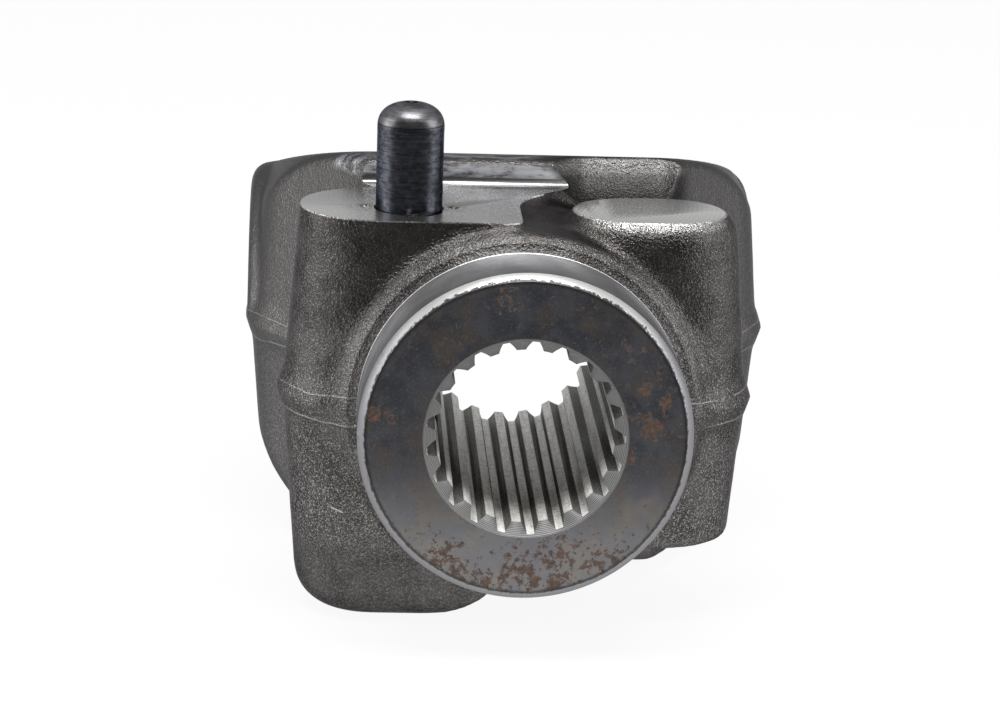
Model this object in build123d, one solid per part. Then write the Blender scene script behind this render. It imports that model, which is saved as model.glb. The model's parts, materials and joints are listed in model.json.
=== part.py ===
from build123d import *
from math import acos, atan2, cos, pi, sin, sqrt, tan
import os

# Quick-release yoke for a farm driveline, in millimetres. A steel drop forging carries a
# splined hub at one end and two ears for a cross and bearing kit at the other. A sprung
# pin crosses the edge of the spline and locks into the groove of the shaft.
# The origin is where the cross's axis meets the shaft's axis. X runs along the ear bores,
# Y from the hub to the ears and Z along the locking pin. The dies part on the plane Z = 0.

# Cross and bearing kit that the ears hold
cap_diameter = 30.2
cap_span = 92.0
ring_groove_width = 1.6
ring_groove_depth = 0.9
ear_bore_chamfer = 0.8

# Fork: ears, the throat between them and the shoulders that join them to the hub
ear_lip = 2.8
ear_thickness = 15.4
ear_radius = 26.4
ear_rim_radius = 4.0
ear_top_inset = 3.0
left_ear_top_step = -0.7
right_ear_top_step = 0.9
throat_depth = 32.2
throat_corner_radius = 22.0
shoulder_half_height = 39.3
shoulder_front = 60.0
shoulder_front_half_width = 29.0
shoulder_corner_radius = 4.0
shoulder_flare_end = 26.0
shoulder_crest_end = 48.0
shoulder_crest_radius = 12.0
shoulder_front_radius = 5.0
shoulder_edge_radius = 24.0
flare_radius = 26.0

# Hub
hub_face_distance = 107.0
collar_diameter = 59.8
collar_length = 16.7
collar_chamfer = 1.3
hub_forging_diameter = 66.4
hub_step = 0.8

# Involute spline of the shaft: 21 teeth, 16/32 pitch, 30 degree pressure angle
spline_teeth = 21
diametral_pitch = 16
pressure_angle = 30 * pi / 180
spline_minor_diameter = 31.75
spline_major_diameter = 35.5
spline_mouth_diameter = 36.6
spline_mouth_slope = 1.33
tooth_from_top = -4.6 * pi / 180
shaft_diameter = 34.8

# Bosses beside the hub: one holds the pin, the other balances it
pin_boss_outer = 43.6
pin_boss_inner = 2.0
pin_boss_front = 89.4
pin_boss_back = 55.4
pin_boss_bottom = 41.9
pin_boss_bottom_radius = 8.0
pin_boss_foot_inner = -2.5
pin_boss_foot_radius = 18.0
pin_boss_corner_radius = 5.0
pin_boss_flare_start = 67.5
pin_boss_flare_width = 10.5
pin_boss_flare_radius = 10.0
balance_boss_outer = 42.3
balance_boss_inner = 4.4
balance_boss_front = 89.0
balance_boss_back = 57.6
balance_boss_top = 36.2
balance_boss_bottom = 26.6
balance_boss_edge_radius = 7.0

# Forging draft and the low ridge that the trimmed flash leaves
draft = 4.7
fork_side_draft = 7.0
flash_height = 6.0
flash_proud = 1.1
flash_taper = 18.0

# Milled flats on the bosses
flat_height = 34.4
flat_wall_distance = 54.0
flat_end = 10.3
flat_corner_radius = 1.2

# Locking pin, its hole and its spring
pin_across = 20.95
pin_along = 75.1
hole_radius = 6.45
pin_slide_clearance = 0.05
hole_bottom = 37.5
head_radius = 6.1
head_stand_out = 19.7
head_left_proud = 0.9
dome_height = 4.8
center_mark_radius = 1.0
guide_top_drop = 1.0
waist_clearance = 0.35
land_bottom = 9.4
land_chamfer = 0.8
pocket_radius = 4.9
pocket_depth = 8.0
spring_wire_diameter = 1.2
spring_mean_radius = 4.0
spring_coils = 5

cap_half_span = cap_span / 2
ear_half_span = cap_half_span + ring_groove_width + ear_lip
ear_half_gap = ear_half_span - ear_thickness
ear_span = 2 * ear_half_span
pitch_radius = spline_teeth * 25.4 / diametral_pitch / 2
base_radius = pitch_radius * cos(pressure_angle)
pin_travel = head_stand_out - head_left_proud
guide_radius = hole_radius - pin_slide_clearance


def at(x, y, z=0):
    """A point or move in the part's frame."""
    return Pos(x, y, z)


def rounded_outline(corners, radii):
    """A flat face whose corners are rounded one by one, each by its own radius."""
    face = make_face(Polyline(*corners, close=True))
    for (x, y), radius in zip(corners, radii):
        if radius > 0:
            corner = face.vertices().sort_by_distance((x, y, 0))[0]
            face = fillet(corner, radius)
    return face


def forged(plan, height, angle):
    """A die-formed block: draft both ways from the parting plane, and the flash ridge."""
    block = extrude(plan, height, both=True, taper=angle)
    ridge = extrude(offset(plan, flash_proud), flash_height / 2, both=True, taper=flash_taper)
    return block + ridge


def involute(angle):
    return tan(angle) - angle


def space_half_angle(radius):
    """Half the angle that one spline space takes at this radius."""
    at_pitch = pi / (2 * spline_teeth)
    return at_pitch + involute(pressure_angle) - involute(acos(base_radius / radius))


def polar(radius, angle):
    return Vector(radius * cos(angle), radius * sin(angle))


def spline_outline():
    """The spline's section, with involute flanks, as one closed face."""
    minor = spline_minor_diameter / 2
    major = spline_major_diameter / 2
    step = 2 * pi / spline_teeth
    edges = []
    first = pi / 2 - tooth_from_top + step / 2
    for tooth in range(spline_teeth):
        middle = first + tooth * step
        following = middle + step
        flank = [(r, space_half_angle(r)) for r in (minor, pitch_radius, major)]
        rising = [polar(r, middle - half) for r, half in flank]
        falling = [polar(r, middle + half) for r, half in reversed(flank)]
        edges.append(ThreePointArc(*rising))
        edges.append(ThreePointArc(rising[-1], polar(major, middle), falling[0]))
        edges.append(ThreePointArc(*falling))
        tip = polar(minor, middle + step / 2)
        edges.append(ThreePointArc(falling[-1], tip, polar(minor, following - flank[0][1])))
    return make_face(edges)


def across_hub(sketch, start, length):
    """A sketch in X and Z, stood across the hub's axis and extruded towards the ears."""
    plane = Plane(origin=(0, -hub_face_distance + start, 0), x_dir=(1, 0, 0), z_dir=(0, -1, 0))
    return extrude(plane * sketch, -length)


def fork_plan():
    """The fork seen from above: flared shoulders outside, the throat inside."""
    front = -shoulder_front
    right = [
        (shoulder_front_half_width, front),
        (ear_half_span, -shoulder_flare_end),
        (ear_half_span, ear_radius),
        (ear_half_gap, ear_radius),
        (ear_half_gap, -throat_depth),
    ]
    radii = [shoulder_corner_radius, flare_radius, 0, 0, throat_corner_radius]
    left = [(-x, y) for x, y in reversed(right)]
    return rounded_outline(right + left, radii + radii[::-1])


def fork_side():
    """The fork seen along the ear bores: a round ear on a tall shoulder."""
    reach = sqrt(shoulder_crest_end ** 2 + shoulder_half_height ** 2)
    touch = atan2(shoulder_half_height, -shoulder_crest_end) - acos(ear_radius / reach)
    top = ear_radius * sin(touch)
    end = ear_radius * cos(touch)
    crest = -shoulder_crest_end
    high = shoulder_half_height
    ridge = (-shoulder_front - 2 * flash_proud, flash_height / 2)
    front_top = (-shoulder_front + high * tan(draft * pi / 180), high)
    upper = [(end, top), (crest, high), front_top, ridge]
    lower = [(y, -z) for y, z in reversed(upper)]
    radii = [0, shoulder_crest_radius, shoulder_front_radius, 0]
    outline = rounded_outline(upper + lower, radii + radii[::-1]) + Circle(ear_radius)
    return extrude(Plane.YZ * outline, ear_span, both=True)


def fork_front():
    """The fork seen along the shaft: drafted sides and generous top edges."""
    lean = shoulder_half_height * tan(fork_side_draft * pi / 180)
    wide = ear_half_span + 2 * flash_proud
    narrow = ear_half_span - lean
    high = shoulder_half_height
    corners = [(wide, -flash_height / 2), (wide, flash_height / 2), (narrow, high)]
    radii = [0, 0, shoulder_edge_radius]
    mirrored = [(-x, z) for x, z in reversed(corners)]
    upper = corners + mirrored
    lower = [(x, -z) for x, z in upper]
    up = rounded_outline(upper, radii + radii[::-1])
    down = rounded_outline(lower, radii + radii[::-1])
    return across_hub(up + down, 0, hub_face_distance + 2 * ear_radius)


def ear_top(side, step):
    """The fuller upper half of one ear, which stands past the shoulder's rounding."""
    width = ear_thickness - step - ear_top_inset
    start = Plane.YZ.offset(side * (ear_half_gap + ear_top_inset))
    ear = extrude(start * Circle(ear_radius), side * width)
    rim = ear.edges().filter_by(GeomType.CIRCLE).sort_by(Axis.X)[-1 if side > 0 else 0]
    ear = fillet(rim, min(ear_rim_radius, 0.9 * width))
    return ear & at(0, 0, ear_radius) * Box(2 * ear_span, 4 * ear_radius, 2 * ear_radius)


def fork():
    body = forged(fork_plan(), shoulder_half_height + 1, draft) & fork_side() & fork_front()
    return body + ear_top(-1, left_ear_top_step) + ear_top(1, right_ear_top_step)


def pin_boss():
    """The tall boss that holds the pin, rounded at its outer end and underneath."""
    depth = pin_boss_front - pin_boss_back
    corners = [
        (-pin_boss_outer, -pin_boss_front),
        (pin_boss_inner, -pin_boss_front),
        (pin_boss_inner, -pin_boss_back),
        (-pin_boss_outer, -pin_boss_back),
    ]
    end_radius = 0.999 * depth / 2
    plan = rounded_outline(corners, [end_radius, pin_boss_corner_radius, 0, end_radius])
    block = forged(plan, pin_boss_bottom, draft)
    block = fillet(block.faces().sort_by(Axis.Z)[0].edges(), pin_boss_bottom_radius)
    outer = -pin_boss_outer - 2 * flash_proud
    inner = pin_boss_inner + 2 * flash_proud
    foot = [(outer, -pin_boss_bottom), (pin_boss_foot_inner, -pin_boss_bottom)]
    section = [(outer, flat_height), *foot, (inner, 0), (inner, flat_height)]
    trimmed = rounded_outline(section, [0, 0, pin_boss_foot_radius, 0, 0])
    return block & across_hub(trimmed, 0, hub_face_distance)


def pin_boss_flare():
    """The hollow corner where the top of the pin's boss runs out into the shoulder."""
    start = -pin_boss_flare_start
    inside = pin_boss_inner - pin_boss_flare_radius
    corners = [
        (inside, start - pin_boss_flare_radius),
        (pin_boss_inner, start - pin_boss_flare_radius),
        (pin_boss_inner, start),
        (pin_boss_inner + pin_boss_flare_width, -pin_boss_back),
        (inside, -pin_boss_back),
    ]
    plan = rounded_outline(corners, [0, 0, pin_boss_flare_radius, 0, 0])
    return extrude(plan, flat_height, taper=draft)


def balance_boss():
    """The shorter boss across from the pin, crowned before its flat is milled."""
    depth = balance_boss_front - balance_boss_back
    width = balance_boss_outer - balance_boss_inner
    middle = (balance_boss_outer + balance_boss_inner) / 2
    plan = at(middle, -(balance_boss_front + balance_boss_back) / 2) * SlotOverall(width, depth)
    block = forged(plan, balance_boss_top, draft)
    below = at(middle, -balance_boss_front, -balance_boss_bottom - width / 2)
    block -= below * Box(2 * width, 4 * depth, width)
    ends = [block.faces().sort_by(Axis.Z)[0], block.faces().sort_by(Axis.Z)[-1]]
    for face in ends:
        block = fillet(face.edges(), balance_boss_edge_radius)
    return block


def hub():
    """The turned collar, the step that the lathe leaves and the forged hub's rounded front."""
    collar = collar_diameter / 2
    forging = hub_forging_diameter / 2
    step = collar + hub_step
    rise = forging - step
    face = -hub_face_distance
    shelf = face + collar_length
    throat = -throat_depth
    inside = -pin_boss_back
    middle = rise * sin(pi / 4)
    outline = [
        Line((0, face), (collar - collar_chamfer, face)),
        Line((collar - collar_chamfer, face), (collar, face + collar_chamfer)),
        Line((collar, face + collar_chamfer), (collar, shelf)),
        Line((collar, shelf), (step, shelf)),
        ThreePointArc((step, shelf), (step + middle, shelf + rise - middle), (forging, shelf + rise)),
        Line((forging, shelf + rise), (forging, inside)),
        Line((forging, inside), (collar, inside)),
        Line((collar, inside), (collar, throat)),
        Line((collar, throat), (0, throat)),
        Line((0, throat), (0, face)),
    ]
    return revolve(make_face(outline), Axis.Y)


def ear_bores():
    """The two bearing bores in line, each with a snap ring's groove and a broken inner edge."""
    radius = cap_diameter / 2
    across = Plane.YZ
    bore = extrude(across * Circle(radius), ear_span)
    groove = across.offset(cap_half_span)
    bore += extrude(groove * Circle(radius + ring_groove_depth), ring_groove_width)
    mouth = across.offset(ear_half_gap - ear_bore_chamfer)
    bore += extrude(mouth * Circle(radius + 2 * ear_bore_chamfer), 2 * ear_bore_chamfer, taper=45)
    return bore + mirror(bore, about=Plane.YZ)


def spline_bore():
    """The splined hole, opened at the mouth by a countersink."""
    tool = across_hub(spline_outline(), -1, hub_face_distance)
    mouth = spline_mouth_diameter / 2
    depth = mouth / spline_mouth_slope
    plane = Plane(origin=(0, -hub_face_distance, 0), x_dir=(1, 0, 0), z_dir=(0, 1, 0))
    cone = plane * at(0, 0, depth / 2) * Cone(mouth, 0, depth)
    return tool + cone


def milled_flats():
    """What the cutter takes off the bosses, up to the wall of the shoulder."""
    reach = 2 * ear_span
    wall = -flat_wall_distance
    corners = [(-reach, wall - reach), (flat_end, wall - reach), (flat_end, wall), (-reach, wall)]
    high = flat_height + reach
    cut = at(0, 0, flat_height) * extrude(make_face(Polyline(*corners, close=True)), high)
    foot = cut.faces().sort_by(Axis.Z)[0].edges().sort_by(Axis.Y)[-1]
    cut = fillet(foot, flat_corner_radius)
    over_balance = at(reach / 2 + balance_boss_inner, -balance_boss_back - reach / 2, flat_height + high / 2)
    return cut + over_balance * Box(reach, reach, high)


def pin_hole():
    hole = Cylinder(hole_radius, hole_bottom + 2 * flat_height, align=(Align.CENTER, Align.CENTER, Align.MIN))
    return at(-pin_across, -pin_along, -hole_bottom) * hole


def yoke():
    """The whole forging with every machined surface."""
    body = fork() + pin_boss() + pin_boss_flare() + balance_boss() + hub()
    body -= milled_flats()
    body -= ear_bores()
    body -= spline_bore()
    body -= pin_hole()
    return body


def lock_pin():
    """The pin at rest: head, guide, waist that frees the shaft, and the locking land."""
    waist_radius = shaft_diameter / 2 + waist_clearance
    waist_half = sqrt(waist_radius ** 2 - (pin_across - guide_radius) ** 2)
    waist_low = pin_travel - waist_half
    waist_high = pin_travel + waist_half
    guide_top = flat_height - guide_top_drop
    head_top = flat_height + head_stand_out
    shoulder = head_top - dome_height
    dome = (head_radius ** 2 + dome_height ** 2) / (2 * dome_height)
    half_way = head_radius / 2
    dome_middle = head_top - dome + sqrt(dome ** 2 - half_way ** 2)
    outline = [
        Line((0, -land_bottom), (guide_radius - land_chamfer, -land_bottom)),
        Line((guide_radius - land_chamfer, -land_bottom), (guide_radius, land_chamfer - land_bottom)),
        Line((guide_radius, land_chamfer - land_bottom), (guide_radius, waist_low)),
        ThreePointArc((guide_radius, waist_low), (pin_across - waist_radius, pin_travel), (guide_radius, waist_high)),
        Line((guide_radius, waist_high), (guide_radius, guide_top)),
        Line((guide_radius, guide_top), (head_radius, guide_top)),
        Line((head_radius, guide_top), (head_radius, shoulder)),
        ThreePointArc((head_radius, shoulder), (half_way, dome_middle), (0, head_top)),
        Line((0, head_top), (0, -land_bottom)),
    ]
    pin = revolve(Plane.XZ * make_face(outline), Axis.Z)
    pocket = Cylinder(pocket_radius, pocket_depth, align=(Align.CENTER, Align.CENTER, Align.MIN))
    pin -= at(0, 0, -land_bottom) * pocket
    pin -= at(0, 0, head_top) * Cylinder(center_mark_radius, 2 * center_mark_radius)
    return at(-pin_across, -pin_along) * pin


def pin_spring():
    """The compression spring between the hole's floor and the pin's pocket."""
    half_wire = spring_wire_diameter / 2
    low = -hole_bottom + half_wire
    high = pocket_depth - land_bottom - half_wire
    coil = Helix(pitch=(high - low) / spring_coils, height=high - low, radius=spring_mean_radius)
    start = Plane(origin=coil @ 0, z_dir=coil % 0)
    wire = sweep(start * Circle(half_wire), path=coil, is_frenet=True)
    return at(-pin_across, -pin_along, low) * wire


if __name__ == "__main__":
    os.makedirs("parts", exist_ok=True)
    pieces = {"yoke": yoke(), "lock_pin": lock_pin(), "pin_spring": pin_spring()}
    for name, piece in pieces.items():
        piece.label = name
        export_step(piece, f"parts/{name}.step")
        print(name, round(piece.volume), piece.is_valid)
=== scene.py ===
import json
from math import cos, pi, radians, sin

import bpy
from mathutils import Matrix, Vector

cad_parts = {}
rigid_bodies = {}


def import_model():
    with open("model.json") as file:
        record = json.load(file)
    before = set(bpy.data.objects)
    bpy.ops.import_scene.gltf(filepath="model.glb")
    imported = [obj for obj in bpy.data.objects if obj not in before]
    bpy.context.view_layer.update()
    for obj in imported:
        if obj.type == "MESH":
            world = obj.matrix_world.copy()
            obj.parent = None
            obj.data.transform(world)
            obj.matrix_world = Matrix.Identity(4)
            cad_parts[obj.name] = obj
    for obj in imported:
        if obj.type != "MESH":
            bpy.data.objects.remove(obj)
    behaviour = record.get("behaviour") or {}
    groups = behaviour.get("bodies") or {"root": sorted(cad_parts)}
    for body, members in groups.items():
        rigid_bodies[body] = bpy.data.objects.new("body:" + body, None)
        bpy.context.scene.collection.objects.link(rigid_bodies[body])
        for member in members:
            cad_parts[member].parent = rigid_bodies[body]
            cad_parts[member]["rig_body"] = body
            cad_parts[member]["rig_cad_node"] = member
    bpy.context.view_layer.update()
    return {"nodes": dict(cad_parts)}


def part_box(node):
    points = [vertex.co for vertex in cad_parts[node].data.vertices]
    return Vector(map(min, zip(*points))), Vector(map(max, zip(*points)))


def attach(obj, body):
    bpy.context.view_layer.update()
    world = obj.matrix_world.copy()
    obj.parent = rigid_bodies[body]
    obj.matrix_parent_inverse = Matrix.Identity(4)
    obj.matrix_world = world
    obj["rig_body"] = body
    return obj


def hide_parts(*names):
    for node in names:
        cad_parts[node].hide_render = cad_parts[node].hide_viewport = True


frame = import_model()

# Sizes in metres, in the part's own frame: X along the ear bores, Y from the hub to the ears, Z along the pin
MM = 0.001
HUB_FACE = -107.0 * MM
COLLAR_RADIUS = 29.9 * MM
COLLAR_LENGTH = 16.7 * MM
COLLAR_CHAMFER = 1.3 * MM
COLLAR_BACK = HUB_FACE + COLLAR_LENGTH
HUB_RADIUS = 33.2 * MM
HUB_STEP = 0.8 * MM
SPLINE_MOUTH_RADIUS = 18.3 * MM
SPLINE_MOUTH_SLOPE = 1.33
THROAT_FLOOR = -32.2 * MM
FLAT_HEIGHT = 34.4 * MM
WALL_FOOT = -54.0 * MM
LEFT_FLAT_END = 10.3 * MM
RIGHT_FLAT_START = 4.4 * MM
RIGHT_FLAT_BACK = -60.0 * MM
WALL_FILLET = 1.3 * MM
WALL_RUNOUT = 4.0 * MM
PIN_X = -20.95 * MM
PIN_Y = -75.1 * MM
HOLE_RADIUS = 6.45 * MM
HOLE_BOTTOM = -37.5 * MM
STAKE_REACH = 8.1 * MM
STAKE_BACK = 0.8 * MM
STAKE_RADIUS = 1.2 * MM
STAKE_SHAPE = (1.2, 1.3, 1)
STAKE_DEPTH = 0.6 * MM
PIN_SHOULDER = 50.1 * MM
PIN_RADIUS = 6.12 * MM
GROOVE_RADIUS = 17.62 * MM
TIP_RADIUS = 15.98 * MM
CUTTER_CENTER = (-16.0 * MM, -66.0 * MM)
EAR_BORE_RADIUS = 15.1 * MM
EAR_HALF_SPAN = 50.4 * MM
CAP_HALF_SPAN = 46.0 * MM
RING_GROOVE_DEPTH = 0.9 * MM
RING_GROOVE_WIDTH = 1.6 * MM

# Tolerances for merging points and for telling which face is which
WELD = 0.002 * MM
CLOSE = 0.1 * MM

# How the forged blank is dressed before it is machined
MACHINING_STOCK = 3.0 * MM
CROWN_RISE = 1.6 * MM
CROWN_SHRINK = 0.72
VALLEY = (14.0 * MM, -62.0 * MM, 46.0 * MM)
VALLEY_REACH = (10.8 * MM, 15.0 * MM, 15.0 * MM)
VALLEY_LENGTH = 12.0 * MM
CROWN = (24.0 * MM, -74.0 * MM)
CROWN_REACH = (16.4 * MM, 12.2 * MM)
FORGED_GRAIN = 0.8 * MM
SOFTENING_STEPS = 20
HUB_BLEND = 3.0 * MM
FLASH_HEIGHT = 6.0 * MM
NICK = (1.4 * MM, -3.0 * MM)
NICK_RADIUS = 4.7 * MM
NICK_DEPTH = 0.3 * MM

# How far a cutter reaches past the piece, where only its other end matters, and how finely round ones are made
BEYOND = 30.0 * MM
ROUND_STEPS = 128

# The dome that goes over the pin's plain one
DOME_HEIGHT = 4.6 * MM
DOME_FULLNESS = 2.35
DOME_SKIRT = 0.6 * MM
DOME_STEPS = 28
CENTRE_MARK_RADIUS = 1.0 * MM
CENTRE_MARK_DEPTH = 0.9 * MM

# Light and camera, in metres and degrees, the lens in millimetres. The tint dims grazing reflections on dull metal
EDGE_TINT = (0.35, 0.35, 0.37, 1.0)
SMOOTH_ANGLE = 35
DARK_FRONT = -0.25
FLOOR_GLOW = 0.92
AIM = (0, -0.06, 0)
EYE = (-0.0378, -0.7312, 0.1781)
EYE_TURN = (75.322, -1.819, -2.524)
LENS = 132.5


def only(*objects):
    """Selects these objects alone, the last one active."""
    bpy.ops.object.select_all(action="DESELECT")
    for item in objects:
        item.select_set(True)
    bpy.context.view_layer.objects.active = objects[-1]


def named(name):
    """Names the piece that was just made."""
    piece = bpy.context.object
    piece.name = name
    piece.data.name = name
    return piece


def select_faces(piece, wanted):
    """Selects the faces for which wanted(centre, normal) is true and opens edit mode on them."""
    only(piece)
    bpy.ops.object.mode_set(mode="EDIT")
    bpy.ops.mesh.select_mode(type="FACE")
    bpy.ops.mesh.select_all(action="DESELECT")
    bpy.ops.object.mode_set(mode="OBJECT")
    for face in piece.data.polygons:
        face.select = wanted(face.center, face.normal)
    bpy.ops.object.mode_set(mode="EDIT")


def in_object_mode():
    """Leaves edit mode."""
    bpy.ops.object.mode_set(mode="OBJECT")


def applied(piece, kind, **settings):
    """Adds a modifier, sets it and applies it."""
    only(piece)
    modifier = piece.modifiers.new(kind.title(), kind)
    for key, value in settings.items():
        setattr(modifier, key, value)
    bpy.ops.object.modifier_apply(modifier=modifier.name)
    return piece


def cut(piece, tool):
    """Machines the piece with a tool, whose finish stays on the faces that it leaves."""
    applied(piece, "BOOLEAN", object=tool, operation="DIFFERENCE", solver="EXACT", material_mode="TRANSFER")
    bpy.data.objects.remove(tool)
    return piece


def placed(piece):
    """Puts the piece's place into its mesh, so that its object sits at the origin."""
    only(piece)
    bpy.ops.object.transform_apply(location=True, rotation=True, scale=True)
    return piece


def rod(name, radius, start, end, sides=96):
    """A round bar between two points."""
    along = Vector(end) - Vector(start)
    turn = along.to_track_quat("Z", "Y").to_euler()
    middle = (Vector(end) + Vector(start)) / 2
    bpy.ops.mesh.primitive_cylinder_add(
        vertices=sides, radius=radius, depth=along.length, location=middle, rotation=turn)
    return placed(named(name))


def block(name, low, high):
    """A box between two opposite corners."""
    size = Vector(high) - Vector(low)
    bpy.ops.mesh.primitive_cube_add(size=1, location=(Vector(high) + Vector(low)) / 2, scale=size)
    return placed(named(name))


def from_hub_axis(point):
    """Distance of a point from the hub's axis, which runs along Y."""
    return (point.x ** 2 + point.z ** 2) ** 0.5


def merged_copy(node, name):
    """A copy of a CAD node with its double points merged. The node itself stays as it is."""
    only(node)
    bpy.ops.object.duplicate()
    piece = named(name)
    only(piece)
    bpy.ops.object.mode_set(mode="EDIT")
    bpy.ops.mesh.select_all(action="SELECT")
    bpy.ops.mesh.remove_doubles(threshold=WELD)
    in_object_mode()
    return piece


def wearing(piece, *materials):
    """Gives the piece these materials and no other."""
    piece.data.materials.clear()
    for material in materials:
        piece.data.materials.append(material)
    return piece


def forged_blank():
    """The forging as it leaves the dies: no bores, stock on what is machined, soft blends everywhere."""
    blank = merged_copy(frame["nodes"]["yoke"], "forged_yoke")
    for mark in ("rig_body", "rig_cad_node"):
        del blank[mark]

    def inside_a_bore(centre, normal):
        in_spline = from_hub_axis(centre) < SPLINE_MOUTH_RADIUS + CLOSE
        in_spline = in_spline and HUB_FACE + CLOSE / 2 < centre.y < THROAT_FLOOR - CLOSE
        beside_pin = ((centre.x - PIN_X) ** 2 + (centre.y - PIN_Y) ** 2) ** 0.5
        in_pin_hole = beside_pin < HOLE_RADIUS + CLOSE
        in_pin_hole = in_pin_hole and HOLE_BOTTOM - CLOSE < centre.z < FLAT_HEIGHT - CLOSE
        beside_cross = (centre.y ** 2 + centre.z ** 2) ** 0.5
        in_ear = beside_cross < EAR_BORE_RADIUS + RING_GROOVE_DEPTH + CLOSE
        return in_spline or in_pin_hole or in_ear

    select_faces(blank, inside_a_bore)
    bpy.ops.mesh.delete(type="FACE")
    bpy.ops.mesh.select_all(action="SELECT")
    bpy.ops.mesh.fill_holes(sides=0)
    bpy.ops.mesh.normals_make_consistent(inside=False)
    in_object_mode()

    def on_a_flat(centre, normal):
        return normal.z > 0.99 and abs(centre.z - FLAT_HEIGHT) < CLOSE

    def on_left_flat(centre, normal):
        return on_a_flat(centre, normal) and centre.x < RIGHT_FLAT_START

    def on_right_flat(centre, normal):
        return on_a_flat(centre, normal) and centre.x > LEFT_FLAT_END and centre.y < RIGHT_FLAT_BACK - MM

    select_faces(blank, on_left_flat)
    bpy.ops.mesh.extrude_region_move(TRANSFORM_OT_translate={"value": (0, 0, MACHINING_STOCK)})
    in_object_mode()
    select_faces(blank, on_right_flat)
    bpy.ops.mesh.extrude_region_move(TRANSFORM_OT_translate={"value": (0, 0, CROWN_RISE)})
    bpy.ops.transform.resize(value=(CROWN_SHRINK, CROWN_SHRINK, 1))
    in_object_mode()
    front = HUB_FACE - MACHINING_STOCK
    stock = rod("collar_stock", COLLAR_RADIUS + HUB_STEP, (0, front, 0), (0, COLLAR_BACK, 0))
    only(stock, blank)
    bpy.ops.object.join()
    applied(blank, "REMESH", mode="VOXEL", voxel_size=FORGED_GRAIN)
    cut(blank, valley_cutter())

    # Everything is softened but the flash ridge, which stays crisp away from the hub
    soft = blank.vertex_groups.new(name="soft")
    for vertex in blank.data.vertices:
        from_ridge = abs(vertex.co.z) / (FLASH_HEIGHT / 2)
        beside_hub = from_hub_axis(vertex.co) < HUB_RADIUS + HUB_BLEND
        weight = 1.0 if beside_hub else min(1.0, max(0.0, from_ridge - 1.0))
        soft.add([vertex.index], weight, "REPLACE")
    applied(blank, "SMOOTH", factor=0.5, iterations=SOFTENING_STEPS, vertex_group="soft")
    return blank


def valley_cutter():
    """The hollow behind the right boss, where the shoulder's front runs down. The boss's oval top stays."""
    bpy.ops.mesh.primitive_uv_sphere_add(segments=128, ring_count=64, radius=1, location=VALLEY, scale=VALLEY_REACH)
    cutter = placed(named("valley_cutter"))
    select_faces(cutter, lambda centre, normal: centre.x > VALLEY[0])
    bpy.ops.transform.translate(value=(VALLEY_LENGTH, 0, 0))
    in_object_mode()
    bpy.ops.mesh.primitive_cylinder_add(
        vertices=ROUND_STEPS, radius=1, depth=2, location=(*CROWN, FLAT_HEIGHT), scale=(*CROWN_REACH, BEYOND))
    return cut(cutter, placed(named("boss_crown")))


def flat_cutter():
    """The milling cutter's path over the left boss, with the round foot of the wall that it leaves."""
    low = (-EAR_HALF_SPAN - BEYOND, HUB_FACE - BEYOND, FLAT_HEIGHT)
    high = (LEFT_FLAT_END + WALL_RUNOUT, WALL_FOOT, FLAT_HEIGHT + BEYOND)
    cutter = block("flat_cutter", low, high)
    only(cutter)
    bpy.ops.object.mode_set(mode="EDIT")
    bpy.ops.mesh.select_mode(type="EDGE")
    bpy.ops.mesh.select_all(action="DESELECT")
    in_object_mode()
    for edge in cutter.data.edges:
        ends = [cutter.data.vertices[index].co for index in edge.vertices]
        on_wall = all(abs(end.y - WALL_FOOT) < MM for end in ends)
        at_foot = all(abs(end.z - FLAT_HEIGHT) < MM for end in ends)
        at_runout = all(abs(end.x - LEFT_FLAT_END - WALL_RUNOUT) < MM for end in ends)
        edge.select = on_wall and (at_foot or at_runout)
    bpy.ops.object.mode_set(mode="EDIT")
    bpy.ops.mesh.bevel(offset=WALL_FILLET, segments=3, affect="EDGES")
    in_object_mode()
    return cutter


def right_flat_cutter():
    """The shorter path over the right boss. It ends at the shoulder's front and leaves no wall."""
    low = (RIGHT_FLAT_START, HUB_FACE - BEYOND, FLAT_HEIGHT)
    high = (EAR_HALF_SPAN + BEYOND, RIGHT_FLAT_BACK, FLAT_HEIGHT + BEYOND)
    return block("right_flat_cutter", low, high)


def spun(name, profile):
    """A body of revolution about the hub's axis. Its profile is a line of (radius, y) corners."""
    bpy.ops.mesh.primitive_plane_add(size=1)
    piece = named(name)
    bpy.ops.object.mode_set(mode="EDIT")
    bpy.ops.mesh.select_all(action="SELECT")
    bpy.ops.mesh.delete(type="VERT")
    in_object_mode()
    mesh = piece.data
    mesh.vertices.add(len(profile))
    for vertex, (radius, y) in zip(mesh.vertices, profile):
        vertex.co = (radius, y, 0)
    mesh.edges.add(len(profile) - 1)
    for index, edge in enumerate(mesh.edges):
        edge.vertices = (index, index + 1)
    mesh.update()
    only(piece)
    bpy.ops.object.mode_set(mode="EDIT")
    bpy.ops.mesh.select_all(action="SELECT")
    bpy.ops.mesh.spin(steps=ROUND_STEPS, angle=2 * pi, center=(0, 0, 0), axis=(0, 1, 0))
    bpy.ops.mesh.select_all(action="SELECT")
    bpy.ops.mesh.remove_doubles(threshold=WELD / 2)
    bpy.ops.mesh.normals_make_consistent(inside=False)
    in_object_mode()
    return piece


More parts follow.
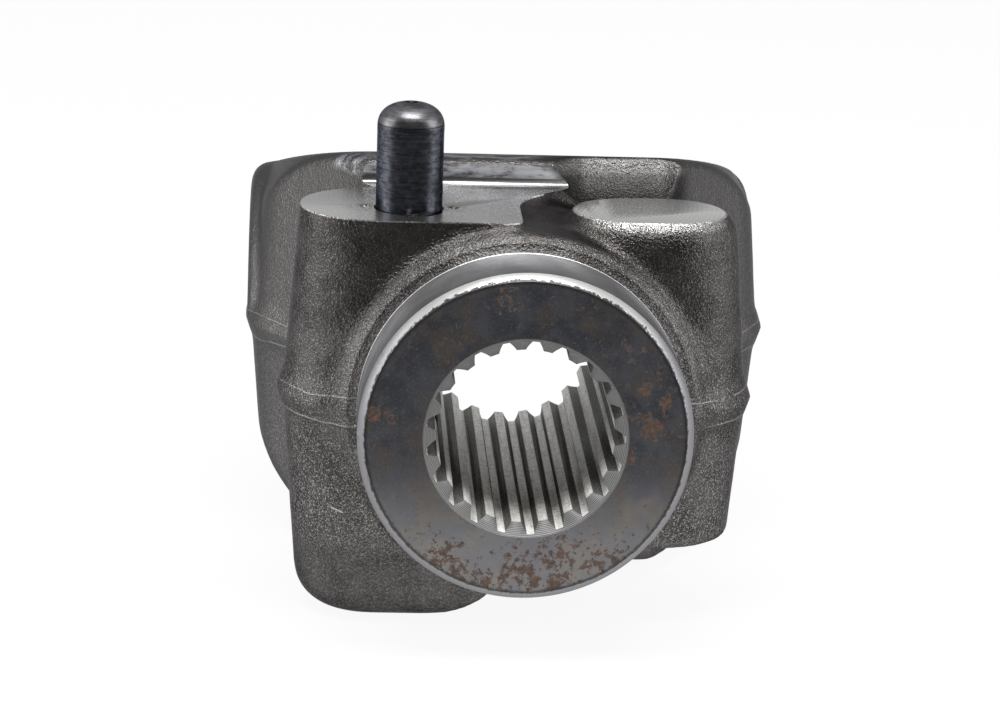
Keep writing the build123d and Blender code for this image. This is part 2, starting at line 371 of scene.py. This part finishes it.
def turned_ring_cutter(turned, forged):
    """What the lathe takes off round the collar. The step behind it keeps the look of the forging."""
    front = HUB_FACE - 2 * MACHINING_STOCK
    outer = HUB_RADIUS + 5 * MM
    profile = [(COLLAR_RADIUS, front), (COLLAR_RADIUS, COLLAR_BACK), (outer, COLLAR_BACK), (outer, front),
               (COLLAR_RADIUS, front)]
    cutter = wearing(spun("turned_ring_cutter", profile), turned, forged)
    for face in cutter.data.polygons:
        face.material_index = 1 if abs(face.normal.y) > 0.9 else 0
    return cutter


def facing_cutter():
    """What the lathe takes off the hub's front end."""
    return rod("facing_cutter", 2 * HUB_RADIUS, (0, HUB_FACE - BEYOND, 0), (0, HUB_FACE, 0))


def chamfer_cutter():
    """The ring that leaves the bright chamfer round the hub's face."""
    more = 1.0 * MM
    inner = COLLAR_RADIUS - COLLAR_CHAMFER - more
    profile = [
        (inner, HUB_FACE - more),
        (COLLAR_RADIUS + more, HUB_FACE + COLLAR_CHAMFER + more),
        (COLLAR_RADIUS + more, HUB_FACE - more),
        (inner, HUB_FACE - more),
    ]
    return spun("chamfer_cutter", profile)


def spline_cutter():
    """The broach: the shape that the part's own splined hole leaves open in a round bar."""
    start = (0, HUB_FACE - BEYOND, 0)
    end = (0, THROAT_FLOOR + MACHINING_STOCK, 0)
    broach = rod("spline_cutter", SPLINE_MOUTH_RADIUS - 0.02 * MM, start, end)
    part = wearing(merged_copy(frame["nodes"]["yoke"], "part_copy"))
    return cut(broach, part)


def pin_hole_cutter():
    """The drill for the pin's blind hole, which crosses the edge of the spline."""
    bottom = (PIN_X, PIN_Y, HOLE_BOTTOM)
    return rod("pin_hole_cutter", HOLE_RADIUS, bottom, (PIN_X, PIN_Y, FLAT_HEIGHT + BEYOND), 64)


def pin_dome():
    """The pin's dome, full at its shoulder and flatter on top, with the centre mark in it."""
    top = max(vertex.co.z for vertex in frame["nodes"]["lock_pin"].data.vertices)
    start = top - DOME_HEIGHT
    skirt = start - DOME_SKIRT
    profile = [(0, skirt), (PIN_RADIUS, skirt)]
    for step in range(DOME_STEPS):
        part = step / DOME_STEPS * pi / 2
        out = cos(part) ** (2 / DOME_FULLNESS) * PIN_RADIUS
        up = sin(part) ** (2 / DOME_FULLNESS) * DOME_HEIGHT
        if out > CENTRE_MARK_RADIUS:
            profile.append((out, start + up))
    rim = profile[-1][1]
    profile += [(CENTRE_MARK_RADIUS, rim), (0, rim - CENTRE_MARK_DEPTH)]
    dome = spun("pin_dome", profile)
    dome.rotation_euler = (pi / 2, 0, 0)
    dome.location = (PIN_X, PIN_Y, 0)
    return placed(dome)


def stake_cutters():
    """The two punch marks beside the pin and the crescent nicked out of its hole's front edge."""
    marks = []
    for side in (-1, 1):
        bpy.ops.mesh.primitive_uv_sphere_add(
            segments=20, ring_count=12, radius=STAKE_RADIUS,
            location=(PIN_X + side * STAKE_REACH, PIN_Y + STAKE_BACK, FLAT_HEIGHT + STAKE_RADIUS - STAKE_DEPTH),
            scale=STAKE_SHAPE)
        marks.append(placed(named("stake_cutter")))
    nick = (PIN_X + NICK[0], PIN_Y + NICK[1])
    start = (*nick, FLAT_HEIGHT - NICK_DEPTH)
    marks.append(rod("nick_cutter", NICK_RADIUS, start, (*nick, FLAT_HEIGHT + BEYOND), 48))
    return marks


def ear_bore_cutters():
    """The bore through both ears and the groove for a snap ring in each of them."""
    reach = EAR_HALF_SPAN + BEYOND
    bore = rod("ear_bore_cutter", EAR_BORE_RADIUS, (-reach, 0, 0), (reach, 0, 0), ROUND_STEPS)
    groove_radius = EAR_BORE_RADIUS + RING_GROOVE_DEPTH
    grooves = []
    for side in (-1, 1):
        start = (side * CAP_HALF_SPAN, 0, 0)
        end = (side * (CAP_HALF_SPAN + RING_GROOVE_WIDTH), 0, 0)
        grooves.append(rod("groove_cutter", groove_radius, start, end, ROUND_STEPS))
    return [bore] + grooves


class Shade:
    """A value that comes out of a material's node, with the usual arithmetic."""

    def __init__(self, finish, socket):
        self.finish = finish
        self.socket = socket

    def math(self, operation, *others):
        """One step of arithmetic with this value first."""
        return self.finish.node("ShaderNodeMath", {"operation": operation}, dict(enumerate((self,) + others)))

    def __add__(self, other):
        return self.math("ADD", other)

    def __radd__(self, other):
        return self.math("ADD", other)

    def __sub__(self, other):
        return self.math("SUBTRACT", other)

    def __rsub__(self, other):
        return (self * -1).math("ADD", other)

    def __mul__(self, other):
        return self.math("MULTIPLY", other)

    def __rmul__(self, other):
        return self.math("MULTIPLY", other)

    def __truediv__(self, other):
        return self.math("DIVIDE", other)

    def __pow__(self, other):
        return self.math("POWER", other)

    def low(self, other):
        """The smaller of two values."""
        return self.math("MINIMUM", other)

    def high(self, other):
        """The larger of two values."""
        return self.math("MAXIMUM", other)

    def size(self):
        """The value without its sign."""
        return self.math("ABSOLUTE")

    def rise(self, start, end):
        """0 below start, 1 above end and smooth between them."""
        settings = {"interpolation_type": "SMOOTHSTEP"}
        return self.finish.node("ShaderNodeMapRange", settings, {"Value": self, "From Min": start, "From Max": end})


class Finish:
    """One procedural material. Its patterns read Object coordinates in metres."""

    def __init__(self, name):
        self.material = bpy.data.materials.new(name)
        self.material.use_nodes = True
        self.nodes = self.material.node_tree.nodes
        self.links = self.material.node_tree.links
        self.shader = self.nodes["Principled BSDF"]
        self.place = self.node("ShaderNodeTexCoord", {}, {}, "Object")
        apart = self.node("ShaderNodeSeparateXYZ", {}, {"Vector": self.place}, None)
        self.x, self.y, self.z = (Shade(self, apart.outputs[axis]) for axis in "XYZ")

    def node(self, kind, settings, inputs, output=0):
        """Adds a node. Settings come first, then values or links for its sockets."""
        made = self.nodes.new(kind)
        for key, value in settings.items():
            setattr(made, key, value)
        for key, value in inputs.items():
            if isinstance(value, Shade):
                self.links.new(value.socket, made.inputs[key])
            else:
                made.inputs[key].default_value = value
        return made if output is None else Shade(self, made.outputs[output])

    def noise(self, size, detail=3, roughness=0.5, stretch=(1, 1, 1), shift=0.0):
        """Cloudy noise from 0 to 1 whose blotches are about size across."""
        spot = self.node("ShaderNodeMapping", {}, {"Vector": self.place, "Scale": stretch, "Location": (shift,) * 3})
        inputs = {"Vector": spot, "Scale": 1 / size, "Detail": detail, "Roughness": roughness}
        return self.node("ShaderNodeTexNoise", {}, inputs)

    def mixed(self, factor, first, second):
        """Goes from the first colour to the second with the factor."""
        start, end = (colour if isinstance(colour, Shade) else (*colour, 1) for colour in (first, second))
        return self.node("ShaderNodeMix", {"data_type": "RGBA"}, {0: factor, 6: start, 7: end}, 2)

    def around_hub(self):
        """Distance from the hub's axis."""
        return (self.x * self.x + self.z * self.z) ** 0.5

    def flash_line(self, height):
        """A thin wavy line round the forging where the trimmed flash leaves an edge."""
        wave = self.noise(22 * MM, 4, 0.45, shift=height * 900)
        gap = (self.z - height + (wave - 0.5) * 5 * MM).size()
        strong = self.noise(7 * MM, 2, 0.5, shift=2.0 + height * 500).rise(0.32, 0.52)
        return gap.rise(0.26 * MM, 0.08 * MM) * strong

    def scratch(self, centre, half, slope):
        """A short scratch seen from the front. Its centre in X and Z and its half length and width are in mm."""
        along = self.x - centre[0] * MM
        off = (self.z - centre[1] * MM + along * slope).size()
        return along.size().rise(half[0] * MM, half[0] * 0.7 * MM) * off.rise(half[1] * MM, half[1] * 0.5 * MM)

    def patch(self, centre, radius):
        """A soft round patch on the hub's face, 1 in its middle. Its centre in X and Z and its radius are in mm."""
        off_x = self.x - centre[0] * MM
        off_z = self.z - centre[1] * MM
        return ((off_x * off_x + off_z * off_z) ** 0.5).rise(radius * 1.4 * MM, radius * 0.5 * MM)

    def beside(self, centre):
        """Distance on the flats from a point given by its X and Y."""
        along = self.x - centre[0]
        deep = self.y - centre[1]
        return (along * along + deep * deep) ** 0.5

    def ripples(self, centre, spacing):
        """Rings round a point on the flats, as a face cutter leaves them."""
        return (self.beside(centre) * (2 * pi / spacing)).math("SINE")

    def bump(self, height, distance, strength):
        """A surface normal that follows this height."""
        return self.node("ShaderNodeBump", {}, {"Height": height, "Distance": distance, "Strength": strength})

    def set(self, **sockets):
        """Sets or links the shader's sockets and returns the finished material."""
        for name, value in sockets.items():
            target = self.shader.inputs[name.replace("_", " ").title()]
            if isinstance(value, Shade):
                self.links.new(value.socket, target)
            else:
                target.default_value = value
        return self.material


def forged_scale():
    """Dark blasted scale with painted glints on its grain, paler low down, and painted highlights at the flats'
    edges.
    """
    look = Finish("forged_scale")
    grain = look.noise(0.48 * MM, 1, 0.5)
    fine = look.noise(0.24 * MM, 1, 0.6, shift=3.1)
    blotch = look.noise(7 * MM, 3, 0.55)

    # Where a point lies: before the ears, low, under the bosses, on their outer sides, between them
    near = look.y.rise(-44 * MM, -61 * MM)
    low_down = look.z.rise(22 * MM, -22 * MM)
    under = look.z.rise(-23 * MM, -31 * MM)
    outer = look.x.size().rise(34 * MM, 46 * MM)
    between = look.x.size().rise(15 * MM, 7 * MM) * look.z.rise(27 * MM, 31 * MM)

    # Dark scale with painted glints, which are painted sparkle highlights: most of them low down and on the outer
    # sides, where painted side light falls, and fewer under the bosses, as painted shade, and between them
    dark = look.mixed(blotch.rise(0.35, 0.65), (0.060, 0.0555, 0.0525), (0.10, 0.095, 0.092))
    dark = look.mixed(near, (0.125, 0.121, 0.118), dark)
    glint = (fine * 0.7 + grain * 0.3 + low_down * 0.02 + outer * 0.02).rise(0.5, 0.68)
    shown = (low_down * 0.55).high(outer * 0.3) + 0.34
    shown = shown * (near * 0.35 + 0.65) * (1 - under * 0.6) * (1 - between * 0.3)
    colour = look.mixed(glint * shown, dark, (0.38, 0.37, 0.362))

    # A painted highlight: a thin ring of glints on the rounding behind the collar, weaker between the bosses
    from_axis = look.around_hub()
    ring = from_axis.rise(31.2 * MM, 31.9 * MM) * from_axis.rise(33.6 * MM, 32.4 * MM)
    ring = ring * look.y.rise(COLLAR_BACK + 4 * MM, COLLAR_BACK + 2 * MM) * look.z.rise(-16 * MM, 8 * MM)
    colour = look.mixed(ring * fine.rise(0.4, 0.65) * (0.6 - between * 0.4), colour, (0.27, 0.265, 0.26))

    # A painted highlight on the rounded lip in front of the right flat
    lip = look.z.rise(FLAT_HEIGHT - 2.0 * MM, FLAT_HEIGHT - 0.6 * MM) * look.x.rise(9 * MM, 14 * MM)
    lip = lip * look.y.rise(RIGHT_FLAT_BACK - 14 * MM, RIGHT_FLAT_BACK - 19 * MM) * look.x.rise(40 * MM, 34 * MM)
    colour = look.mixed(lip * fine.rise(0.35, 0.65), colour, (0.5, 0.49, 0.48))

    # Smears that the milling cutter left on the shoulder's crest
    sheared = look.y.rise(WALL_FOOT + 0.5 * MM, WALL_FOOT + 1.5 * MM) * look.y.rise(-44 * MM, -47 * MM)
    sheared = sheared * look.x.rise(10 * MM, 0 * MM) * look.z.rise(35 * MM, 36.5 * MM)
    smear = look.noise(1.8 * MM, 4, 0.65, stretch=(0.3, 1, 1)).rise(0.42, 0.6)
    colour = look.mixed(sheared * smear * 0.85, colour, (0.4, 0.41, 0.44))

    # Painted shade in the hollow behind the right boss, and on the shoulder's crest above it
    in_hollow = look.y.rise(-64 * MM, -60 * MM) * look.x.rise(2 * MM, 6 * MM) * look.x.rise(34 * MM, 30 * MM)
    in_hollow = in_hollow * look.z.rise(28 * MM, 30 * MM)
    shade = look.z.rise(37.8 * MM, 35.6 * MM).high(look.z.rise(38.3 * MM, 39.4 * MM) * 0.8)
    colour = look.mixed(in_hollow * shade * 0.85, colour, (0.03, 0.029, 0.028))

    # A painted highlight along the flats' edges, where broken edges would catch the light, flash lines and one
    # scratch
    below = look.z.rise(FLAT_HEIGHT - 0.35 * MM, FLAT_HEIGHT - 0.15 * MM)
    above = look.z.rise(FLAT_HEIGHT + 0.2 * MM, FLAT_HEIGHT + 0.1 * MM)
    on_boss = look.y.rise(RIGHT_FLAT_BACK, RIGHT_FLAT_BACK - 1.5 * MM)
    edge_highlight = below * above * on_boss * grain.rise(0.25, 0.5)
    lines = (look.flash_line(1.9 * MM) + look.flash_line(-2.6 * MM)).low(1)
    scratch = look.scratch((-33.0, -20.0), (1.35, 0.22), 0.35)
    colour = look.mixed((edge_highlight + lines * 0.32 + scratch * near * 0.8).low(1), colour, (0.6, 0.59, 0.58))

    height = (grain * 0.8 + fine * 0.5 + look.noise(2.4 * MM, 2) * 0.9) * (near * 0.4 + 0.6) + lines * 0.5
    return look.set(base_color=colour, metallic=1.0, roughness=0.36 - glint * 0.08, specular_tint=EDGE_TINT,
                    normal=look.bump(height, 0.22 * MM, 1.0))


def milled_steel():
    """The satin flats with the faint arcs of a face cutter, and the torn wall of the shoulder above them."""
    look = Finish("milled_steel")
    grain = look.noise(0.35 * MM, 3, 0.6)
    torn = look.noise(1.6 * MM, 4, 0.65, stretch=(0.3, 1, 1))
    scratches = look.noise(0.5 * MM, 3, 0.6, stretch=(0.12, 1, 1))
    wall = look.z.rise(FLAT_HEIGHT + 1.2 * MM, FLAT_HEIGHT + 1.6 * MM)
    foot = look.z.rise(FLAT_HEIGHT + 0.02 * MM, FLAT_HEIGHT + 0.1 * MM)
    struck = look.z.rise(FLAT_HEIGHT - 0.02 * MM, FLAT_HEIGHT - 0.08 * MM)
    arcs = look.ripples(CUTTER_CENTER, 0.85 * MM) * (1 - foot)

    # The flats: palest on the right one and at the front left
    clean = look.mixed(look.noise(12 * MM, 3).rise(0.3, 0.7), (0.215, 0.215, 0.215), (0.265, 0.265, 0.262))
    right = look.x.rise(6 * MM, 9 * MM) * look.y.rise(-55 * MM, -60 * MM)
    front_left = look.x.rise(-24 * MM, -34 * MM) * look.y.rise(-66 * MM, -80 * MM)
    clean = look.mixed(right.high(front_left * 0.8), clean, (0.5, 0.5, 0.495))
    clean = look.mixed(arcs * 0.08 + 0.08, clean, (0.2, 0.2, 0.2))
    # The round foot of the wall gets one plain, slightly paler tone without arcs: a faint painted highlight
    clean = look.mixed(foot, clean, (0.27, 0.27, 0.27))

    # Brown rings round the two punch marks, and the torn metal inside them, painted dark and bright as shade and
    # glints
    from_mark = look.beside((PIN_X - STAKE_REACH, PIN_Y)).low(look.beside((PIN_X + STAKE_REACH, PIN_Y)))
    rings = (from_mark * (2 * pi / (0.75 * MM))).math("SINE").rise(-0.2, 0.7)
    stain = from_mark.rise(4.4 * MM, 2.2 * MM) * look.noise(1.3 * MM, 3, 0.6).rise(0.38, 0.6) * (1 - foot)
    clean = look.mixed(stain * (rings * 0.45 + 0.2), clean, (0.10, 0.088, 0.075))
    inside = look.mixed(grain.rise(0.45, 0.6), (0.03, 0.029, 0.028), (0.5, 0.48, 0.45))
    clean = look.mixed(struck, clean, inside)

    # The wall: torn, scratched along, and dark at its right end and along its crest
    rough = look.mixed(torn.rise(0.38, 0.55), (0.13, 0.125, 0.125), (0.55, 0.56, 0.59))
    rough = look.mixed(scratches.rise(0.5, 0.65) * 0.5, rough, (0.5, 0.5, 0.51))
    end = (look.x + (torn - 0.5) * 5 * MM + (look.z - FLAT_HEIGHT) * 0.8).rise(7.5 * MM, 10.5 * MM)
    rough = look.mixed(end, rough, (0.07, 0.068, 0.067))
    crest = (look.z + (torn - 0.5) * 2.4 * MM).rise(38.0 * MM, 39.2 * MM)
    rough = look.mixed(crest * 0.75, rough, (0.1, 0.098, 0.1))

    height = grain * 0.3 + arcs * 0.3 + (torn * 1.6 + scratches) * wall + grain * struck * 3
    return look.set(base_color=look.mixed(wall, clean, rough), metallic=0.92,
                    roughness=0.24 + grain * 0.06 + wall * 0.2 - foot * 0.04,
                    normal=look.bump(height, 0.05 * MM, 0.6))


def turned_steel():
    """The collar, the chamfers and the bores: satin metal with fine turning rings."""
    look = Finish("turned_steel")
    rings = look.noise(0.35 * MM, 2, 0.5, stretch=(0.02, 1, 0.02))
    cloud = look.noise(6 * MM, 3).rise(0.3, 0.7)
    colour = look.mixed(cloud, (0.11, 0.11, 0.113), (0.15, 0.15, 0.153))
    # A painted highlight: a bright line along the collar's rear edge
    collar_edge_glint = look.y.rise(COLLAR_BACK - 0.7 * MM, COLLAR_BACK - 0.4 * MM)
    colour = look.mixed(collar_edge_glint, colour, (0.7, 0.7, 0.7))
    return look.set(base_color=colour, metallic=1.0, roughness=0.42 + rings * 0.1, specular_tint=EDGE_TINT,
                    normal=look.bump(rings, 0.03 * MM, 0.6))


def chamfer_steel():
    """The chamfer: bright and wide at the top, where its highlight is painted, duller and thinner below, with scale
    along its inner edge.
    """
    look = Finish("chamfer_steel")
    across_it = look.around_hub() - (COLLAR_RADIUS - COLLAR_CHAMFER)
    ragged = look.noise(1.1 * MM, 4, 0.7)
    high_up = look.z.rise(14 * MM, 27 * MM)
    bite = high_up * 0.2 + 0.1
    scale = (across_it / MM + (ragged - 0.5) * 1.7 - bite).rise(0.1, -0.1)
    grain = look.noise(0.4 * MM, 3, 0.6)
    # Painted highlight: the chamfer is painted brighter high up, where light from above falls on it
    bright = look.mixed(high_up, (0.27, 0.27, 0.285), (0.6, 0.6, 0.59))
    colour = look.mixed(scale, bright, (0.07, 0.066, 0.066))
    return look.set(base_color=colour, metallic=0.95, roughness=0.34 + grain * 0.15,
                    normal=look.bump(grain * 0.5 - scale * 0.6, 0.08 * MM, 0.7))


def hub_face_steel():
    """The hub's face: blue-grey scale above, paler below as a painted reflection, rust in spots and heaviest at the
    bottom.
    """
    look = Finish("hub_face_steel")
    grain = look.noise(0.5 * MM, 4, 0.65)
    haze = look.noise(5 * MM, 4, 0.6)
    warm = look.noise(7 * MM, 4, 0.65, shift=1.7)
    # Painted reflection: the face is painted paler towards the bottom
    reflection_below = (look.z + (haze - 0.5) * 14 * MM).rise(-2 * MM, -22 * MM)
    scale = look.mixed(haze.rise(0.35, 0.65), (0.056, 0.059, 0.072), (0.095, 0.097, 0.109))
    scale = look.mixed(warm.rise(0.44, 0.62) * 0.6, scale, (0.108, 0.09, 0.074))
    pale = look.mixed(warm.rise(0.4, 0.6), (0.225, 0.225, 0.24), (0.265, 0.25, 0.235))
    base = look.mixed(reflection_below, scale, pale)
    base = look.mixed(grain.rise(0.5, 0.75) * 0.25, base, (0.3, 0.3, 0.3))
    spots = look.noise(1.3 * MM, 5, 0.75)
    clumps = look.noise(6 * MM, 2, 0.5, shift=5.0)
    low_down = look.z.rise(-12 * MM, -27 * MM)
    stains = look.patch((22.2, 1.5), 2.6).high(look.patch((24.5, 7.0), 1.4)).high(look.patch((20.5, 9.5), 1.2))
    stains = stains.high(look.patch((-3.5, 25.5), 3.0) * 0.6).high(look.patch((19.0, -2.5), 1.6))
    stains = stains.high(look.patch((-27.6, 4.0), 1.7))
    rust = (spots + low_down * 0.14 + stains * 0.2 + (clumps - 0.5) * 0.35).rise(0.62, 0.67)
    tone = look.mixed(look.noise(0.9 * MM, 3).rise(0.35, 0.65), (0.13, 0.068, 0.042), (0.055, 0.036, 0.028))
    colour = look.mixed(rust * 0.92, base, tone)
    edge = (look.around_hub() + (grain - 0.5) * 1.2 * MM).rise(27.9 * MM, 28.4 * MM)
    colour = look.mixed(edge * 0.7, colour, (0.03, 0.028, 0.027))
    metallic = 0.75 - rust * 0.6
    return look.set(base_color=colour, metallic=metallic, roughness=0.36 + grain * 0.2 + rust * 0.25,
                    normal=look.bump(grain * 0.6 + rust * 0.8, 0.07 * MM, 0.7))


def spline_steel():
    """The broached teeth: pale tips and groove floors with dark flanks between them, painted light and shade, and a
    bright ridged countersink at the mouth.
    """
    look = Finish("spline_steel")
    streaks = look.noise(0.5 * MM, 3, 0.6, stretch=(1, 0.06, 1))
    fine = look.noise(0.4 * MM, 3, 0.65)
    dirt_and_shade = look.noise(1.4 * MM, 4, 0.65, shift=2.2)
    from_axis = look.around_hub()
    # Painted light and shade: tips and groove floors pale as if lit, the flanks between them dark as if shaded
    tip = from_axis.rise(TIP_RADIUS + CLOSE / 2, TIP_RADIUS)
    floor = from_axis.rise(GROOVE_RADIUS - CLOSE / 2, GROOVE_RADIUS)
    pale = look.mixed(streaks.rise(0.35, 0.65), (0.7, 0.69, 0.66), (0.88, 0.87, 0.84))
    pale = look.mixed((dirt_and_shade * 0.4 + fine * 0.6).rise(0.5, 0.6) * 0.6, pale, (0.25, 0.24, 0.225))
    deep = look.mixed(fine.rise(0.4, 0.7), (0.07, 0.067, 0.063), (0.2, 0.195, 0.185))
    colour = look.mixed((tip + floor).low(1), deep, pale)
    from_cone = ((look.y - HUB_FACE) * SPLINE_MOUTH_SLOPE + from_axis - SPLINE_MOUTH_RADIUS).size()
    mouth = from_cone.rise(0.2 * MM, 0.1 * MM)
    ridges = (from_axis * (2 * pi / (0.26 * MM))).math("SINE")
    colour = look.mixed(mouth, colour, look.mixed(ridges.rise(-1, 1), (0.16, 0.16, 0.16), (0.4, 0.4, 0.4)))
    return look.set(base_color=colour, metallic=0.3 + mouth * 0.5, roughness=0.5 + streaks * 0.15,
                    normal=look.bump(streaks * 0.5 + fine * 0.4 + ridges * mouth * 0.6, 0.06 * MM, 0.7))


def pin_steel():
    """Blued steel, turned in fine rings and brighter on the dome, partly its own finish and partly a painted
    highlight, with painted shade in its crease.
    """
    look = Finish("pin_steel")
    rings = look.noise(0.3 * MM, 3, 0.6, stretch=(0.06, 0.06, 1))
    patina = look.noise(0.9 * MM, 5, 0.7, stretch=(0.7, 0.7, 1))
    dome = look.z.rise(PIN_SHOULDER - 0.25 * MM, PIN_SHOULDER + 0.25 * MM)
    body = look.mixed((rings * 0.4 + patina * 0.6).rise(0.38, 0.62), (0.055, 0.055, 0.06), (0.13, 0.14, 0.17))
    # The dome is paler than the body: partly its own finish, partly a painted highlight
    head = look.mixed((rings * 0.6 + patina * 0.4).rise(0.4, 0.6), (0.11, 0.11, 0.118), (0.2, 0.2, 0.21))
    colour = look.mixed(dome, body, head)
    # Painted shade in the crease at the dome's foot and in the centre mark, and a thin dark line below the crease
    crease = (look.z - PIN_SHOULDER).size().rise(0.16 * MM, 0.06 * MM)
    below = (look.z - PIN_SHOULDER + 1.1 * MM).size().rise(0.1 * MM, 0.04 * MM)
    mark = look.beside((PIN_X, PIN_Y)).rise(CENTRE_MARK_RADIUS + 0.35 * MM, CENTRE_MARK_RADIUS + 0.1 * MM)
    dirt_and_shade = (crease * 0.7).high(below * 0.45).high(mark * dome * 0.85)
    colour = look.mixed(dirt_and_shade, colour, (0.02, 0.02, 0.022))
    return look.set(base_color=colour, metallic=1.0, roughness=0.2 + patina * 0.1 + dome * 0.1,
                    specular_tint=EDGE_TINT, normal=look.bump(rings * 0.7 + patina * 0.3, 0.04 * MM, 0.7))


def spring_steel():
    """Plain drawn wire. Nothing of it is seen at rest."""
    look = Finish("spring_steel")
    return look.set(base_color=(0.2, 0.2, 0.2, 1), metallic=0.9, roughness=0.35)


def machined_yoke():
    """The blank after milling, turning, broaching and boring, each with its own finish."""
    turned = turned_steel()
    milled = milled_steel()
    bored = spline_steel()
    forged = forged_scale()
    yoke = wearing(forged_blank(), forged)
    cut(yoke, wearing(facing_cutter(), hub_face_steel()))
    cut(yoke, turned_ring_cutter(turned, forged))
    cut(yoke, wearing(chamfer_cutter(), chamfer_steel()))
    cut(yoke, wearing(flat_cutter(), milled))
    cut(yoke, wearing(right_flat_cutter(), milled))
    cut(yoke, wearing(spline_cutter(), bored))
    cut(yoke, wearing(pin_hole_cutter(), bored))
    for tool in stake_cutters():
        cut(yoke, wearing(tool, milled))
    for tool in ear_bore_cutters():
        cut(yoke, wearing(tool, turned))
    only(yoke)
    bpy.ops.object.shade_smooth_by_angle(angle=radians(SMOOTH_ANGLE))
    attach(yoke, "yoke")
    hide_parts("yoke")


def finished_pin():
    """The pin keeps its turned body and gets the fuller dome over its plain one."""
    blued = pin_steel()
    wearing(frame["nodes"]["lock_pin"], blued)
    dome = wearing(pin_dome(), blued)
    only(dome)
    bpy.ops.object.shade_smooth_by_angle(angle=radians(SMOOTH_ANGLE))
    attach(dome, "lock_pin")


def studio():
    """A pale floor and backdrop that the camera sees white, soft light from above and both sides."""
    low = Vector(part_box("yoke")[0]).z
    bpy.ops.mesh.primitive_plane_add(size=8, location=(0, 0, low))
    floor = wearing(named("floor"), studio_white())
    studio_air()
    lamp("top_lamp", (0.0, -0.3, 0.85), 0.6, 0.35, 7)
    lamp("left_lamp", (-0.9, -0.1, 0.25), 0.5, 0.7, 3)
    lamp("right_lamp", (0.9, -0.2, 0.3), 0.5, 0.7, 3)


def studio_white():
    """The floor's white. It keeps the shadow, and reflections find it dark in front of DARK_FRONT."""
    look = Finish("studio_white")
    path = look.node("ShaderNodeLightPath", {}, {}, None)
    seen = Shade(look, path.outputs["Is Camera Ray"])
    glossy = Shade(look, path.outputs["Is Glossy Ray"])
    through = Shade(look, path.outputs["Is Transmission Ray"])
    look.set(base_color=(0.9, 0.9, 0.9, 1), roughness=0.9)
    plain = Shade(look, look.shader.outputs[0])
    behind = look.y.rise(DARK_FRONT, DARK_FRONT + 0.1)
    glow = look.mixed((seen + behind).low(1), (0.1, 0.1, 0.1), (1, 1, 1))
    white = look.node("ShaderNodeEmission", {}, {"Color": glow, "Strength": 1.0})
    factor = (seen + glossy + through).low(1) * FLOOR_GLOW
    mix = look.node("ShaderNodeMixShader", {}, {0: factor, 1: plain, 2: white})
    look.links.new(mix.socket, look.nodes["Material Output"].inputs["Surface"])
    return look.material


def studio_air():
    """White air for the camera. For every other ray it is dim in front and brighter above and behind."""
    world = bpy.data.worlds.new("studio_air")
    bpy.context.scene.world = world
    world.use_nodes = True
    nodes, links = world.node_tree.nodes, world.node_tree.links
    path = nodes.new("ShaderNodeLightPath")
    toward = nodes.new("ShaderNodeTexCoord")
    apart = nodes.new("ShaderNodeSeparateXYZ")
    links.new(toward.outputs["Generated"], apart.inputs["Vector"])
    air = nodes["Background"]
    air.inputs["Color"].default_value = (1, 1, 1, 1)
    room = nodes.new("ShaderNodeMapRange")
    for socket, value in {"From Min": -0.55, "From Max": -0.35, "To Min": 0.09, "To Max": 0.7}.items():
        room.inputs[socket].default_value = value
    links.new(apart.outputs["Y"], room.inputs["Value"])
    strength = nodes.new("ShaderNodeMapRange")
    links.new(path.outputs["Is Camera Ray"], strength.inputs["Value"])
    links.new(room.outputs["Result"], strength.inputs["To Min"])
    strength.inputs["To Max"].default_value = 1.0
    links.new(strength.outputs["Result"], air.inputs["Strength"])


def lamp(name, place, width, height, power):
    """A soft rectangular lamp that looks at the part. Its power is in watts."""
    bpy.ops.object.light_add(type="AREA", location=place)
    light = bpy.context.object
    light.name = name
    light.data.shape = "RECTANGLE"
    light.data.size = width
    light.data.size_y = height
    light.data.energy = power
    light.rotation_euler = (Vector(AIM) - Vector(place)).to_track_quat("-Z", "Y").to_euler()


def camera():
    """The photograph's camera: a long lens, in front of the hub and a little above."""
    bpy.ops.object.camera_add(location=EYE, rotation=[radians(angle) for angle in EYE_TURN])
    eye = bpy.context.object
    eye.data.sensor_width = 36
    eye.data.lens = LENS
    bpy.context.scene.camera = eye


machined_yoke()
finished_pin()
wearing(frame["nodes"]["pin_spring"], spring_steel())
studio()
camera()
bpy.context.scene.view_settings.view_transform = "Standard"
